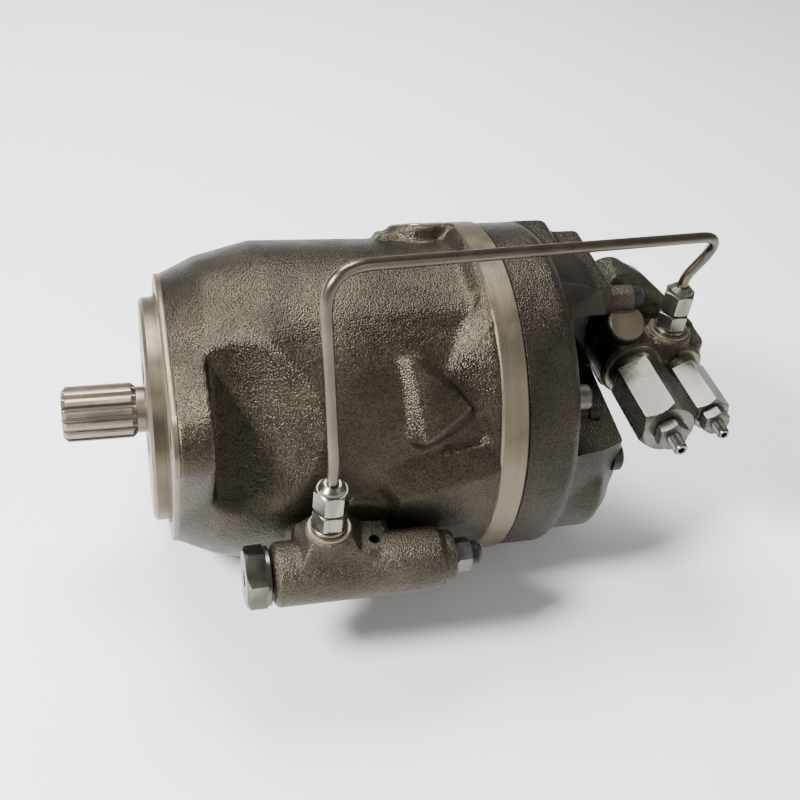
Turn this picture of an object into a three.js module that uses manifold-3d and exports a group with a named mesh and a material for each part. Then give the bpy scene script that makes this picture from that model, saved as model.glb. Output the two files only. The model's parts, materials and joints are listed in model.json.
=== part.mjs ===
// Variable axial piston pump (swash plate type) with a two-bolt flange, a splined shaft,
// a flow/pressure control valve behind the port plate and a power valve on the near flank.
// Millimetres. The origin is the centre of the flange face on the shaft's axis,
// +X runs towards the port plate, +Z is up and -Y is the side with the power valve.
import * as THREE from 'three';
import { mergeVertices } from 'three/addons/utils/BufferGeometryUtils.js';
import Module from 'manifold-3d';

const wasm = await Module();
wasm.setup();

// Driving dimensions
const GAP = 0.3;                 // left between pieces that touch
const PILOT = { radius: 62.5, length: 9 };
const FLANGE = { thick: 20, hubRadius: 75, earRadius: 20, boltAt: 90, boltHole: 9 };
const CLOCK = -30;               // the flange and the case's bosses turn this far about the shaft
const CASE = { radius: 91, ringRadius: 97, ringLength: 15, end: 183 };
const PLATE = {
  start: 183.6, end: 249.6, radius: 95, rimEnd: 214, shoulder: 240, shoulderRadius: 84, endRadius: 80,
};
const SUCTION = { y: 32, z: -34, radius: 25 };
const PRESSURE_OUTLET = { y: -40, z: -34, radius: 14 };
const PORT_DEPTH = 32;
const CAVITY = { start: 37, radius: 62, lobeRadius: 16, lobeWidth: 24, lobeAt: 66, lobeReach: 80 };
const CONE = { start: 28, radius: 86, end: 48, flareLength: 9 };   // from the flange to the full round body
const HEAD_POCKET = { radius: 17, end: 48 };
const NOSE = { lip: 27, seat: 36, seatStart: 9, seatEnd: 33, wall: 28 };  // front bearing and seal bore
const SEAL = { outer: 26.6, inner: 17.4, start: -5.5, end: 4 };
const SNAP_RING = { inner: 21, start: -8, end: -5.9 };
const FRONT_BEARING = { start: 9.3, end: 31, outer: 35.6, race: 30, roller: 29.5 };
const REAR_BEARING = { start: 189, end: 208, outer: 25.9, race: 22, roller: 21.5, bore: 26.3 };
const SHAFT = {
  end: -54, splineMajor: 15.6, splineMinor: 13.2, teeth: 14, splineEnd: -13,
  neck: 13, seal: 17, bearing: 20, middle: 15, tail: 14, tailEnd: 207,
};
const PIVOT = 84;                // X of the swash plate's pivot axis
const TILT = 15;                 // rest angle of the swash plate, at full stroke
const BARREL = { start: 113, end: 180.4, radius: 50.5, bore: 10, boreDepth: 60, port: 4.5, portCircle: 31 };
const VALVE_PLATE = { start: 180.7, end: 183.3, radius: 46, inner: 19, holes: 10 };
const PISTONS = 9;
const BORE_CIRCLE = 36;
const SLIPPER_CIRCLE = (2 * BORE_CIRCLE) / (1 + Math.cos(THREE.MathUtils.degToRad(TILT)));
const SLIPPER = { sole: 7.7, flange: 11.9, flangeTop: 4.9, body: 10.2, top: 1.5, socket: 7.8 };
const BALL = { piston: 7, retainer: 22.5 };
const PISTON = { neck: 4.6, neckEnd: 16, radius: 9, tail: 34 };
const RETAINER = { start: -4.6, end: -2.2, radius: 49.5, hole: 10.7, sleeve: 18.5 };   // from the pivot
const SWASH = { thick: 12, radius: 53, armHalfWidth: 9, armReach: 75, passage: 23.8 };
const CRADLE = { radius: 40, inner: 33, outer: 48, shell: 3, reach: 26 };
const CONTROL = {
  height: 68, strokerRadius: 13, strokerEnd: 232, strokerBoreEnd: 238,
  counterRadius: 9, counterEnd: 150, collar: 12.5, tipStroker: 14, tipCounter: 11,
};
const SPRING = { radius: 11, wire: 1.3, turns: 6, end: 210, bore: 14, boreEnd: 214 };
const DRAIN = { x: 150, boss: 17, bore: 9, top: 98, bossStart: 80, plugStart: 84, socket: 4, socketDepth: 6 };
const VALVE = {
  start: 250, middle: 288, end: 316, near: -28, step: 2, far: 34, bottom: 6, nearTop: 44, top: 66,
};
const FITTING_BOSS = { radius: 13, bottom: 40 };
const STUD_HOLE = { radius: 6.5, depth: 8 };
const FLOW = { x: 270, z: 26, bore: 8, capFlat: 15, capEnd: -80, screwEnd: -97, screw: 4, spoolEnd: 15 };
const PRESSURE = {
  x: 300, z: 26, bore: 5.5, capFlat: 10, capEnd: -72, screwEnd: -88, screw: 3.5, spoolEnd: -4,
};
const BOSS = { from: 56, to: 118, low: -50, high: 6, face: -94 };
const POWER = { start: 45, end: 143, y: -111.6, z: -22, radius: 17, bore: 9 };
const SADDLE = { from: 58, to: 112, near: -127, height: 20 };
const PORT_BLOCK = { from: 61, to: 92, near: -122, bottom: -4 };
const HEX_PLUG = { halfFlat: 14.5, washer: 15.5, head: 13, neck: 3, insert: 10 };
const END_CAP = { stem: 5.6, halfFlat: 8, hexEnd: 9, cap: 6.5, capEnd: 15, insert: 8 };
const UNION = {
  thread: 6, washer: 9.5, halfFlat: 8, hexEnd: 13, threadEnd: 20, nutStart: 13.6, nutEnd: 27, sleeve: 30,
};
const TUBE = { radius: 3, rise: 9, lowerTurn: 41, upperTurn: 36, bends: [8, 24, 20, 5] };
const LOWER_PORT = { x: 75, y: -108, seat: 7 };
const UPPER_PORT = { x: 293, y: -15, seat: 46 };
const TUBE_CORNERS = [[65, -100, 158], [309, -17, 110]];

const pump = new THREE.Group();

// ---- materials ----
const PAINTS = {
  cast: [0x57504a, 0.75, 0.6],
  steel: [0xa8a69c, 0.35, 1],
  zinc: [0xb4b2a8, 0.3, 1],
  dark: [0x2b2b2b, 0.5, 0.6],
  bronze: [0xa07a3c, 0.35, 1],
  rubber: [0x161616, 0.9, 0],
};

function material(paint) {
  const [color, roughness, metalness] = PAINTS[paint];
  return new THREE.MeshStandardMaterial({ color, roughness, metalness });
}

function add(name, geometry, paint) {
  const mesh = new THREE.Mesh(geometry, material(paint));
  mesh.name = name;
  pump.add(mesh);
  return mesh;
}

// ---- solids ----
function toSolid(geometry) {
  const plain = geometry.index ? geometry.toNonIndexed() : geometry.clone();
  plain.deleteAttribute('normal');
  plain.deleteAttribute('uv');
  const merged = mergeVertices(plain, 1e-4);
  const triVerts = new Uint32Array(merged.index.array);
  const vertProperties = new Float32Array(merged.attributes.position.array);
  return new wasm.Manifold(new wasm.Mesh({ numProp: 3, vertProperties, triVerts }));
}

function toGeometry(solid) {
  const mesh = solid.getMesh();
  const geometry = new THREE.BufferGeometry();
  geometry.setAttribute('position', new THREE.BufferAttribute(mesh.vertProperties, 3));
  geometry.setIndex(new THREE.BufferAttribute(mesh.triVerts, 1));
  const flat = geometry.toNonIndexed();
  flat.computeVertexNormals();
  return flat;
}

function join(first, ...others) {
  return others.reduce((sum, geometry) => sum.add(toSolid(geometry)), toSolid(first));
}

function cut(solid, ...tools) {
  return tools.reduce((rest, geometry) => rest.subtract(toSolid(geometry)), solid);
}

// A round bar whose axis runs along X, Y or Z from one coordinate to the other.
// at holds the other two coordinates in X, Y, Z order.
function bar(axis, from, to, radius, at = [0, 0], sides = 32, endRadius = radius) {
  const geometry = new THREE.CylinderGeometry(endRadius, radius, to - from, sides);
  const middle = (from + to) / 2;
  if (axis === 'x') {
    geometry.rotateZ(-Math.PI / 2).translate(middle, at[0], at[1]);
  } else if (axis === 'y') {
    geometry.translate(at[0], middle, at[1]);
  } else {
    geometry.rotateX(Math.PI / 2).translate(at[0], at[1], middle);
  }
  return geometry;
}

// A solid of revolution about the X axis from [x, radius] points; it starts and ends on the axis.
function turned(points, sides = 36) {
  const profile = points.map(([x, radius]) => new THREE.Vector2(radius, x));
  return new THREE.LatheGeometry(profile, sides).rotateZ(-Math.PI / 2);
}

function block(low, high) {
  const size = high.map((value, i) => value - low[i]);
  const middle = high.map((value, i) => (value + low[i]) / 2);
  return new THREE.BoxGeometry(...size).translate(...middle);
}

function ring(axis, from, to, outer, inner, at = [0, 0], sides = 32) {
  const overrun = 1;
  return cut(
    toSolid(bar(axis, from, to, outer, at, sides)),
    bar(axis, from - overrun, to + overrun, inner, at, sides),
  );
}

// A hexagonal bar, sized across its flats.
function hex(axis, from, to, halfFlat, at) {
  return bar(axis, from, to, halfFlat / Math.cos(Math.PI / 6), at, 6);
}

// Turns a geometry about the shaft to the case's own clock position.
function clocked(geometry) {
  return geometry.rotateX(THREE.MathUtils.degToRad(CLOCK));
}

// Turns a geometry drawn on the untilted swash plane about the pivot axis.
function tilted(geometry) {
  return geometry
    .translate(-PIVOT, 0, 0)
    .rotateY(-THREE.MathUtils.degToRad(TILT))
    .translate(PIVOT, 0, 0);
}

// Y and Z of a point on a circle about the shaft, with the angle counted from +Z towards +Y.
function onCircle(radius, angle) {
  return [radius * Math.sin(angle), radius * Math.cos(angle)];
}

function around(count, make) {
  return Array.from({ length: count }, (_, i) => make((2 * Math.PI * i) / count, i));
}

// Plate outline in the YZ plane, pulled along X.
function pulledPlate(shape, from, to, curveSegments = 10) {
  const settings = { depth: to - from, bevelEnabled: false, curveSegments };
  return new THREE.ExtrudeGeometry(shape, settings)
    .rotateX(Math.PI / 2)
    .rotateZ(Math.PI / 2)
    .translate(from, 0, 0);
}

// ---- case ----
function flangeShape() {
  const shape = new THREE.Shape();
  const reach = FLANGE.boltAt;
  const lean = Math.acos((FLANGE.hubRadius - FLANGE.earRadius) / reach);
  const { hubRadius, earRadius } = FLANGE;
  shape.absarc(reach, 0, earRadius, -lean, lean, false);
  shape.absarc(0, 0, hubRadius, lean, Math.PI - lean, false);
  shape.absarc(-reach, 0, earRadius, Math.PI - lean, Math.PI + lean, false);
  shape.absarc(0, 0, hubRadius, Math.PI + lean, 2 * Math.PI - lean, false);
  return shape;
}

function cavityTools() {
  const { start, radius, lobeRadius, lobeWidth, lobeAt, lobeReach } = CAVITY;
  const out = CASE.end + 1;
  const lobes = [-1, 1].map((side) => bar('x', start + 3, out, lobeRadius, [0, side * lobeAt], 24));
  const slot = block([start + 3, -lobeWidth / 2, -lobeReach], [out, lobeWidth / 2, lobeReach]);
  return [bar('x', start, out, radius, [0, 0], 36), slot, ...lobes];
}

function housing() {
  const { radius, ringRadius, ringLength, end } = CASE;
  const ringStart = end - ringLength;
  const { boltAt, boltHole, thick, hubRadius } = FLANGE;
  const outside = join(
    clocked(pulledPlate(flangeShape(), 0, thick, 12)),
    bar('x', -PILOT.length, 1, PILOT.radius, [0, 0], 36),
    turned([
      [0.5, 0], [0.5, hubRadius - 0.5], [CONE.start, CONE.radius], [CONE.end, radius],
      [ringStart - CONE.flareLength, radius],
      [ringStart, ringRadius], [end, ringRadius], [end, 0],
    ]),
    clocked(bar('z', DRAIN.bossStart, DRAIN.top, DRAIN.boss, [DRAIN.x, 0], 24)),
    block([BOSS.from, BOSS.face, BOSS.low], [BOSS.to, -CAVITY.radius - 2, BOSS.high]),
  );
  const sides = [-1, 1];
  const holes = sides.map((side) => clocked(bar('x', -1, thick + 1, boltHole, [side * boltAt, 0], 24)));
  const pockets = sides.map((side) =>
    clocked(bar('x', thick, HEAD_POCKET.end, HEAD_POCKET.radius, [side * boltAt, 0], 24)));
  const { lip, seat, seatStart, seatEnd, wall } = NOSE;
  const hollow = cut(
    outside,
    ...holes,
    ...pockets,
    ...cavityTools(),
    turned([
      [-PILOT.length - 1, 0], [-PILOT.length - 1, lip], [seatStart, lip], [seatStart, seat],
      [seatEnd, seat], [seatEnd, wall], [CAVITY.start + 1, wall], [CAVITY.start + 1, 0],
    ], 32),
    clocked(bar('z', CAVITY.radius - 6, DRAIN.top + 1, DRAIN.bore, [DRAIN.x, 0], 20)),
  );
  return cradleSaddles().reduce((solid, saddle) => solid.add(saddle), hollow);
}

// The two hollowed blocks behind the front wall that hold the cradle bearings.
function cradleSaddles() {
  const { radius, inner, outer, shell, reach } = CRADLE;
  const groove = bar('y', -outer - 2, outer + 2, radius + shell + GAP, [PIVOT, 0], 36);
  return [-1, 1].map((side) => {
    const from = Math.min(side * inner, side * outer);
    const raw = block([CAVITY.start - 1, from, -reach], [PIVOT - 29, from + outer - inner, reach]);
    return cut(toSolid(raw), groove);
  });
}

function portPlate() {
  const { start, end, radius, rimEnd, shoulder, shoulderRadius, endRadius } = PLATE;
  const outside = turned([
    [start, 0], [start, radius], [rimEnd, radius], [shoulder, shoulderRadius], [end, endRadius], [end, 0],
  ]);
  const ports = [SUCTION, PRESSURE_OUTLET].map((port) =>
    bar('x', end - PORT_DEPTH, end + 1, port.radius, [port.y, port.z], 32));
  return cut(
    toSolid(outside),
    bar('x', start - 1, REAR_BEARING.end + 0.6, REAR_BEARING.bore, [0, 0], 32),
    bar('x', start - 1, CONTROL.strokerBoreEnd, CONTROL.strokerRadius + 0.5, [0, -CONTROL.height], 32),
    bar('x', start - 1, SPRING.boreEnd, SPRING.bore, [0, CONTROL.height], 32),
    ...ports,
  );
}

function addCase() {
  add('housing', toGeometry(housing()), 'cast');
  add('port_plate', toGeometry(portPlate()), 'cast');
  const gasket = cut(
    toSolid(bar('x', CASE.end + 0.1, PLATE.start - 0.1, PLATE.radius, [0, 0], 36)),
    bar('x', CASE.end - 1, PLATE.start + 1, PLATE.shoulderRadius, [0, 0], 36),
  );
  add('housing_gasket', toGeometry(gasket), 'rubber');
  add('shaft_seal', toGeometry(ring('x', SEAL.start, SEAL.end, SEAL.outer, SEAL.inner)), 'rubber');
  const snapRing = ring('x', SNAP_RING.start, SNAP_RING.end, SEAL.outer, SNAP_RING.inner);
  add('seal_retaining_ring', toGeometry(snapRing), 'dark');
  const plugEnd = DRAIN.top - 1;
  const plug = cut(
    toSolid(bar('z', DRAIN.plugStart, plugEnd, DRAIN.bore - GAP, [DRAIN.x, 0], 20)),
    hex('z', plugEnd - DRAIN.socketDepth, plugEnd + 1, DRAIN.socket, [DRAIN.x, 0]),
  );
  add('drain_plug', clocked(toGeometry(plug)), 'zinc');
}

// ---- bearings ----
function addBearings() {
  const bearings = {
    front: [FRONT_BEARING, SHAFT.bearing + GAP],
    rear: [REAR_BEARING, SHAFT.tail + GAP],
  };
  for (const [name, [bearing, bore]] of Object.entries(bearings)) {
    const { start, end, outer, race, roller } = bearing;
    add(`${name}_bearing_cup`, toGeometry(ring('x', start, end, outer, race)), 'steel');
    add(`${name}_bearing_cone`, toGeometry(ring('x', start, end, roller, bore)), 'steel');
  }
}

// Half-shell bearings that carry the swash plate's two cradle journals.
function addCradleBearings() {
  const { radius, inner, outer, shell, reach } = CRADLE;
  const names = { cradle_bearing_near: -1, cradle_bearing_far: 1 };
  for (const [name, side] of Object.entries(names)) {
    const from = Math.min(side * inner, side * outer);
    const whole = ring('y', from, from + outer - inner, radius + shell, radius + GAP, [PIVOT, 0], 36);
    const keep = block([PIVOT - radius - 5, -outer - 1, -reach], [PIVOT - 20, outer + 1, reach]);
    add(name, toGeometry(whole.intersect(toSolid(keep))), 'bronze');
  }
}

// ---- rotating group ----
function splineShape() {
  const shape = new THREE.Shape();
  const pitch = (2 * Math.PI) / SHAFT.teeth;
  const { splineMajor, splineMinor } = SHAFT;
  const corners = [[0.08, splineMinor], [0.26, splineMajor], [0.74, splineMajor], [0.92, splineMinor]];
  for (let tooth = 0; tooth < SHAFT.teeth; tooth += 1) {
    for (const [part, radius] of corners) {
      const angle = (tooth + part) * pitch;
      const [y, z] = [radius * Math.cos(angle), radius * Math.sin(angle)];
      if (tooth === 0 && part === corners[0][0]) shape.moveTo(y, z);
      else shape.lineTo(y, z);
    }
  }
  shape.closePath();
  return shape;
}

function addShaft() {
  const solid = join(
    pulledPlate(splineShape(), SHAFT.end, SHAFT.splineEnd),
    bar('x', SHAFT.splineEnd - 0.5, SNAP_RING.start - 1, SHAFT.neck),
    bar('x', SNAP_RING.start - 1.5, FRONT_BEARING.start - 0.8, SHAFT.seal),
    bar('x', FRONT_BEARING.start - 1.3, FRONT_BEARING.end + 3, SHAFT.bearing),
    bar('x', FRONT_BEARING.end + 2.5, REAR_BEARING.start - 1, SHAFT.middle),
    bar('x', REAR_BEARING.start - 1.5, SHAFT.tailEnd, SHAFT.tail),
  );
  add('drive_shaft', toGeometry(solid), 'steel');
}

function addBarrel() {
  const { start, end, radius, bore, boreDepth, port, portCircle } = BARREL;
  const bores = around(PISTONS, (angle) =>
    bar('x', start - 1, start + boreDepth, bore, onCircle(BORE_CIRCLE, angle), 14));
  const ports = around(PISTONS, (angle) =>
    bar('x', start + boreDepth - 1, end + 1, port, onCircle(portCircle, angle), 10));
  const body = toSolid(bar('x', start, end, radius, [0, 0], 36));
  const middle = bar('x', start - 1, end + 1, SHAFT.middle + GAP, [0, 0], 32);
  add('cylinder_barrel', toGeometry(cut(body, middle, ...bores, ...ports)), 'bronze');
}

function addValvePlate() {
  const { start, end, radius, inner, holes } = VALVE_PLATE;
  const halfStep = Math.PI / holes;
  const kidneys = around(holes, (angle) =>
    bar('x', start - 1, end + 1, BARREL.port, onCircle(BARREL.portCircle, angle + halfStep), 8));
  const body = toSolid(bar('x', start, end, radius, [0, 0], 36));
  add('valve_plate', toGeometry(cut(body, bar('x', start - 1, end + 1, inner), ...kidneys)), 'bronze');
}

function addRetainer() {
  const sphere = toSolid(new THREE.SphereGeometry(BALL.retainer, 24, 14).translate(PIVOT, 0, 0));
  const slab = toSolid(block([PIVOT - 5, -30, -30], [PIVOT + 14, 30, 30]));
  const sleeve = bar('x', PIVOT + 13, BARREL.start - GAP, RETAINER.sleeve);
  const hole = bar('x', PIVOT - 10, BARREL.start + 1, SHAFT.middle + GAP, [0, 0], 32);
  const nose = cut(sphere.intersect(slab).add(toSolid(sleeve)), hole);
  add('retainer_ball', toGeometry(nose), 'steel');

  const [from, to] = [PIVOT + RETAINER.start, PIVOT + RETAINER.end];
  const holes = around(PISTONS, (angle) =>
    bar('x', from - 1, to + 1, RETAINER.hole, onCircle(SLIPPER_CIRCLE, angle), 16));
  const middle = bar('x', from - 1, to + 1, BALL.retainer + 0.4, [0, 0], 32);
  const plate = cut(toSolid(bar('x', from, to, RETAINER.radius, [0, 0], 36)), middle, ...holes);
  add('retainer_plate', tilted(toGeometry(plate)), 'steel');
}

function slipper() {
  const { sole, flange, flangeTop, body, top, socket } = SLIPPER;
  const outside = join(
    bar('x', -sole, -flangeTop, flange, [0, 0], 16),
    bar('x', -flangeTop - 0.5, top, body, [0, 0], 14),
  );
  return cut(outside, new THREE.SphereGeometry(socket, 10, 6));
}

function piston() {
  const tail = BARREL.start - PIVOT + PISTON.tail;
  return join(
    new THREE.SphereGeometry(BALL.piston, 12, 8),
    bar('x', 3, PISTON.neckEnd, PISTON.neck, [0, 0], 10),
    bar('x', PISTON.neckEnd - 1, tail, PISTON.radius, [0, 0], 14),
  );
}

function addPistons() {
  const tilt = THREE.MathUtils.degToRad(TILT);
  around(PISTONS, (angle, i) => {
    const [y, z] = onCircle(SLIPPER_CIRCLE, angle);
    const ballX = PIVOT - z * Math.sin(tilt);
    const ballZ = z * Math.cos(tilt);
    const shoe = toGeometry(slipper()).rotateY(-tilt).translate(ballX, y, ballZ);
    add(`slipper_${i + 1}`, shoe, 'bronze');
    add(`piston_${i + 1}`, toGeometry(piston()).translate(ballX, y, ballZ), 'steel');
  });
}

// ---- swash plate and its two control pistons ----
function addSwashPlate() {
  const { radius, inner, outer } = CRADLE;
  const face = PIVOT - SLIPPER.sole - GAP;
  const back = face - SWASH.thick;
  const journals = [-1, 1].map((side) => {
    const from = Math.min(side * (inner + 1), side * (outer - 1));
    return bar('y', from, from + outer - inner - 2, radius - 0.2, [PIVOT, 0], 36);
  });
  const front = block([PIVOT - radius - 1, -60, -32], [face, 60, 32]);
  const journal = journals.map((shape) => toSolid(shape).intersect(toSolid(front)));
  const disc = join(
    bar('x', back, face, SWASH.radius, [0, 0], 36),
    block([back, -SWASH.armHalfWidth, -SWASH.armReach], [face, SWASH.armHalfWidth, SWASH.armReach]),
  );
  const whole = disc.add(journal[0]).add(journal[1]);
  const passage = bar('x', back - radius, face + 1, SWASH.passage);
  add('swash_plate', tilted(toGeometry(cut(whole, passage))), 'steel');
}

// X of the centre of a round tip that rests on the tilted plate at height z.
function tipCentre(z, tipRadius) {
  const tilt = THREE.MathUtils.degToRad(TILT);
  const face = SLIPPER.sole + GAP;
  return PIVOT + (tipRadius - face - z * Math.sin(tilt)) / Math.cos(tilt) + 0.5;
}

function addControlPistons() {
  const { height, strokerRadius, strokerEnd, counterRadius, counterEnd, tipStroker, tipCounter } = CONTROL;
  const low = tipCentre(-height, tipStroker);
  const high = tipCentre(height, tipCounter);
  const lowTip = toSolid(new THREE.SphereGeometry(tipStroker, 16, 10).translate(low, 0, -height));
  const lowBar = toSolid(bar('x', low - tipStroker - 1, low + 10, strokerRadius, [0, -height], 20));
  const lowStem = toSolid(bar('x', low + 1, strokerEnd, strokerRadius, [0, -height], 20));
  const stroker = lowTip.intersect(lowBar).add(lowStem);
  add('stroking_piston', toGeometry(stroker), 'steel');

  const highTip = toSolid(new THREE.SphereGeometry(tipCounter, 16, 10).translate(high, 0, height));
  const highBar = toSolid(bar('x', high - tipCounter - 1, high + 10, counterRadius, [0, height], 20));
  const highStem = toSolid(bar('x', high + 1, counterEnd, counterRadius, [0, height], 20));
  const counter = highTip.intersect(highBar).add(highStem);
  const collar = bar('x', high + 8, high + 13, CONTROL.collar, [0, height], 20);
  add('counter_piston', toGeometry(counter.add(toSolid(collar))), 'steel');
}

class Helix extends THREE.Curve {
  constructor(from, to, radius, turns, height) {
    super();
    Object.assign(this, { from, to, radius, turns, height });
  }

  getPoint(t, target = new THREE.Vector3()) {
    const angle = 2 * Math.PI * this.turns * t;
    const x = this.from + (this.to - this.from) * t;
    return target.set(x, this.radius * Math.sin(angle), this.height + this.radius * Math.cos(angle));
  }
}

function addReturnSpring() {
  const start = tipCentre(CONTROL.height, CONTROL.tipCounter) + 13 + 3;
  const path = new Helix(start, SPRING.end, SPRING.radius, SPRING.turns, CONTROL.height);
  const wire = new THREE.Shape().absarc(0, 0, SPRING.wire, 0, 2 * Math.PI, false);
  const settings = { extrudePath: path, steps: 11 * SPRING.turns, curveSegments: 2, bevelEnabled: false };
  add('return_spring', new THREE.ExtrudeGeometry(wire, settings), 'steel');
}

// ---- control valve ----
function addControlValve() {
  const { start, middle, end, near, step, far, bottom, nearTop, top } = VALVE;
  const { x, y, seat } = UPPER_PORT;
  const outside = join(
    block([start, near, bottom], [end, step, nearTop]),
    block([start, step - 1, bottom], [middle, far, top]),
    bar('z', FITTING_BOSS.bottom, seat, FITTING_BOSS.radius, [x, y], 24),
  );
  const longBore = bar('y', near - 1, far - 8, FLOW.bore + GAP, [FLOW.x, FLOW.z], 24);
  const passage = bar('z', seat - STUD_HOLE.depth, seat + 1, STUD_HOLE.radius, [x, y], 20);
  add('control_valve_body', toGeometry(cut(outside, longBore, shortBore(), passage)), 'cast');
}

// The pressure spool's bore, which ends inside the smaller near block.
function shortBore() {
  return bar('y', VALVE.near - 1, 1, PRESSURE.bore + GAP, [PRESSURE.x, PRESSURE.z], 24);
}

function addValveTrain(name, v) {
  const at = [v.x, v.z];
  const rim = VALVE.near - GAP;
  const shell = cut(
    toSolid(hex('y', v.capEnd, rim, v.capFlat, at)),
    bar('y', v.capEnd + 8, rim + 1, v.bore + 2, at, 24),
    bar('y', v.capEnd - 1, v.capEnd + 9, v.screw + GAP, at, 20),
  );
  add(`${name}_spring_cap`, toGeometry(shell), 'zinc');
  const nut = cut(
    toSolid(hex('y', v.capEnd - 7.3, v.capEnd - GAP, v.screw * 2.1, at)),
    bar('y', v.capEnd - 9, v.capEnd + 1, v.screw + GAP, at, 20),
  );
  add(`${name}_lock_nut`, toGeometry(nut), 'dark');
  const seatTo = v.capEnd + 19;
  const driveHex = hex('y', v.screwEnd - 1, v.screwEnd + 4, v.screw * 0.55, at);
  const stem = bar('y', v.screwEnd, seatTo - 4 - GAP, v.screw, at, 20);
  add(`${name}_adjusting_screw`, toGeometry(cut(toSolid(stem), driveHex)), 'steel');
  add(`${name}_spring_seat`, toGeometry(toSolid(bar('y', seatTo - 4, seatTo, v.bore + 1, at, 20))), 'steel');
  const nose = seatTo + 9;
  const lands = join(
    bar('y', nose, nose + 7, v.bore - 4, at, 20),
    bar('y', nose + 6, v.spoolEnd - 16, v.bore, at, 20),
    bar('y', v.spoolEnd - 17, v.spoolEnd - 8, v.bore - 3, at, 20),
    bar('y', v.spoolEnd - 9, v.spoolEnd, v.bore, at, 20),
  );
  add(`${name}_spool`, toGeometry(lands), 'steel');
}

// ---- power valve, fittings and pilot tube ----
function addPowerValve() {
  const { start, end, y, z, radius, bore } = POWER;
  const port = LOWER_PORT;
  const face = BOSS.face - GAP;
  const outside = join(
    bar('x', start, end, radius, [y, z], 32),
    block([SADDLE.from, SADDLE.near, z], [SADDLE.to, face, z + SADDLE.height]),
    block([PORT_BLOCK.from, PORT_BLOCK.near, PORT_BLOCK.bottom], [PORT_BLOCK.to, face, port.seat]),
  );
  const body = cut(
    outside,
    bar('x', start - 1, end - 14, bore + 0.3, [y, z], 24),
    bar('x', end - 15, end + 1, 6, [y, z], 20),
    bar('z', port.seat - STUD_HOLE.depth, port.seat + 1, STUD_HOLE.radius, [port.x, port.y], 20),
  );
  add('power_valve_body', toGeometry(body), 'cast');
  const plug = join(
    hex('x', start - HEX_PLUG.head, start - HEX_PLUG.neck, HEX_PLUG.halfFlat, [y, z]),
    bar('x', start - HEX_PLUG.neck - 0.5, start - GAP, HEX_PLUG.washer, [y, z], 28),
    bar('x', start - 1, start + HEX_PLUG.insert, bore, [y, z], 24),
  );
  add('power_valve_plug', toGeometry(plug), 'zinc');
  add('power_valve_spool', toGeometry(toSolid(bar('x', start + 14, end - 22, bore, [y, z], 24))), 'steel');
  const cap = join(
    bar('x', end - END_CAP.insert, end + 5, END_CAP.stem, [y, z], 20),
    hex('x', end + GAP, end + END_CAP.hexEnd, END_CAP.halfFlat, [y, z]),
    bar('x', end + END_CAP.hexEnd - 0.5, end + END_CAP.capEnd, END_CAP.cap, [y, z], 20),
  );
  add('power_valve_end_cap', toGeometry(cap), 'dark');
}

function addFitting(side, x, y, seat) {
  const at = [x, y];
  const { thread, washer, halfFlat, hexEnd, threadEnd, nutStart, nutEnd, sleeve } = UNION;
  const bore = TUBE.radius + GAP;
  const stud = join(
    bar('z', seat - STUD_HOLE.depth + 1, seat + 1, thread, at, 20),
    bar('z', seat + GAP, seat + 3, washer, at, 24),
    hex('z', seat + 2.5, seat + hexEnd, halfFlat, at),
    bar('z', seat + hexEnd - 1, seat + threadEnd, thread, at, 20),
  );
  const through = bar('z', seat + TUBE.rise - 1, seat + threadEnd + 1, bore, at, 20);
  add(`${side}_stud_fitting`, toGeometry(cut(stud, through)), 'zinc');
  const nut = cut(
    join(
      hex('z', seat + nutStart, seat + nutEnd, halfFlat, at),
      bar('z', seat + nutEnd - 1, seat + sleeve, thread + 0.5, at, 24),
    ),
    bar('z', seat + hexEnd, seat + threadEnd + 0.6, thread + GAP, at, 20),
    bar('z', seat + hexEnd, seat + sleeve + 1, bore, at, 20),
  );
  add(`${side}_union_nut`, toGeometry(nut), 'zinc');
}

// A path of straight runs with rounded corners. bends holds how far each bend starts before
// its corner.
function bentPath(points, bends) {
  const path = new THREE.CurvePath();
  let from = points[0];
  for (let i = 1; i < points.length - 1; i += 1) {
    const corner = points[i];
    const bend = bends[i - 1];
    const before = corner.clone().lerp(points[i - 1], bend / corner.distanceTo(points[i - 1]));
    const after = corner.clone().lerp(points[i + 1], bend / corner.distanceTo(points[i + 1]));
    path.add(new THREE.LineCurve3(from, before));
    path.add(new THREE.QuadraticBezierCurve3(before, corner, after));
    from = after;
  }
  path.add(new THREE.LineCurve3(from, points[points.length - 1]));
  return path;
}

function addPilotLine() {
  addFitting('lower', LOWER_PORT.x, LOWER_PORT.y, LOWER_PORT.seat);
  const upper = UPPER_PORT;
  addFitting('upper', upper.x, upper.y, upper.seat);
  const { rise, lowerTurn, upperTurn } = TUBE;
  const [left, right] = TUBE_CORNERS;
  const points = [
    [LOWER_PORT.x, LOWER_PORT.y, LOWER_PORT.seat + rise],
    [LOWER_PORT.x, LOWER_PORT.y, LOWER_PORT.seat + lowerTurn],
    left,
    right,
    [upper.x, upper.y, upper.seat + upperTurn],
    [upper.x, upper.y, upper.seat + rise],
  ].map((point) => new THREE.Vector3(...point));
  const wall = new THREE.Shape().absarc(0, 0, TUBE.radius, 0, 2 * Math.PI, false);
  const path = bentPath(points, TUBE.bends);
  const settings = { extrudePath: path, steps: 56, curveSegments: 4, bevelEnabled: false };
  add('pilot_tube', new THREE.ExtrudeGeometry(wall, settings), 'steel');
}

addCase();
addBearings();
addCradleBearings();
addShaft();
addBarrel();
addValvePlate();
addRetainer();
addPistons();
addSwashPlate();
addControlPistons();
addReturnSpring();
addControlValve();
addValveTrain('flow', FLOW);
addValveTrain('pressure', PRESSURE);
addPowerValve();
addPilotLine();

export default pump;
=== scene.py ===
"""An axial piston pump in cast iron and steel, on a pale studio floor."""
import json
import math

import bmesh
import bpy
from mathutils import Matrix, Vector


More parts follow.
